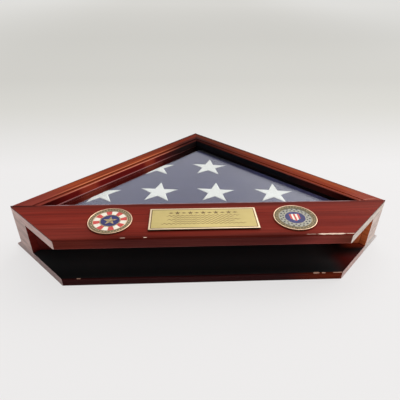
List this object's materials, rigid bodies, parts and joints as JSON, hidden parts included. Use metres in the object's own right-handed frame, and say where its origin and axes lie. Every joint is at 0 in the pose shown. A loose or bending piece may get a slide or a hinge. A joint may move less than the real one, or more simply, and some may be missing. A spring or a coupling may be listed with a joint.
{
  "type": "folded flag display case",
  "caption": "Triangular mahogany case that shows a folded flag behind glass, with a wide lower board for a brass plaque and medallions and a rear panel held by turn buttons.",
  "frame": {"origin": "under the middle of the case, on the plane its back rests on", "axes": "+Z out through the glass, +Y from the base edge towards the apex, +X to the right as seen from the front with the apex up"},
  "size_m": [0.421, 0.28, 0.06],
  "materials": {
    "mahogany": "satin lacquer",
    "inner_wood": "dark stain",
    "hardboard": "matte pressed board",
    "beech": "matte",
    "clear_glass": "clear",
    "flag_cloth": "woven",
    "plated_steel": "zinc plated",
    "satin_brass": "satin",
    "foam_tape": "matte foam",
    "antique_bronze": "antiqued",
    "blue_enamel": "glossy",
    "red_enamel": "glossy",
    "white_enamel": "glossy"
  },
  "bodies": {
    "case": {"left_side": "mahogany", "right_side": "mahogany", "left_face_strip": "mahogany", "right_face_strip": "mahogany", "front_fascia": "mahogany", "left_back_rail": "mahogany", "right_back_rail": "mahogany", "rear_base_board": "mahogany", "flag_shelf": "inner_wood", "glass_pane": "clear_glass", "folded_flag": "flag_cloth", "access_panel": "hardboard", "turn_button_screws": "plated_steel", "back_screws": "plated_steel", "face_frame_dowels": "beech", "apex_dowels": "beech", "plaque": "satin_brass", "plaque_tape": "foam_tape", "left_medallion": "antique_bronze", "left_medallion_blue": "blue_enamel", "left_medallion_red": "red_enamel", "left_medallion_white": "white_enamel", "right_medallion": "antique_bronze", "right_medallion_blue": "blue_enamel", "right_medallion_red": "red_enamel", "right_medallion_white": "white_enamel"},
    "button_left_upper": {"turn_button_left_upper": "plated_steel"},
    "button_left_lower": {"turn_button_left_lower": "plated_steel"},
    "button_right_upper": {"turn_button_right_upper": "plated_steel"},
    "button_right_lower": {"turn_button_right_lower": "plated_steel"},
    "button_base": {"turn_button_base": "plated_steel"}
  },
  "joints": [
    {"name": "left_upper_turn", "type": "hinge", "parent": "case", "child": "button_left_upper", "pos_m": [-0.04384, 0.05873, 0.0031], "axis": [0, 0, -1], "range_deg": [0, 90]},
    {"name": "left_lower_turn", "type": "hinge", "parent": "case", "child": "button_left_lower", "pos_m": [-0.1317, -0.02913, 0.0031], "axis": [0, 0, -1], "range_deg": [0, 90]},
    {"name": "right_upper_turn", "type": "hinge", "parent": "case", "child": "button_right_upper", "pos_m": [0.04384, 0.05873, 0.0031], "axis": [0, 0, 1], "range_deg": [0, 90]},
    {"name": "right_lower_turn", "type": "hinge", "parent": "case", "child": "button_right_lower", "pos_m": [0.1317, -0.02913, 0.0031], "axis": [0, 0, 1], "range_deg": [0, 90]},
    {"name": "base_turn", "type": "hinge", "parent": "case", "child": "button_base", "pos_m": [0, -0.09405, 0.0031], "axis": [0, 0, -1], "range_deg": [0, 90]}
  ]
}
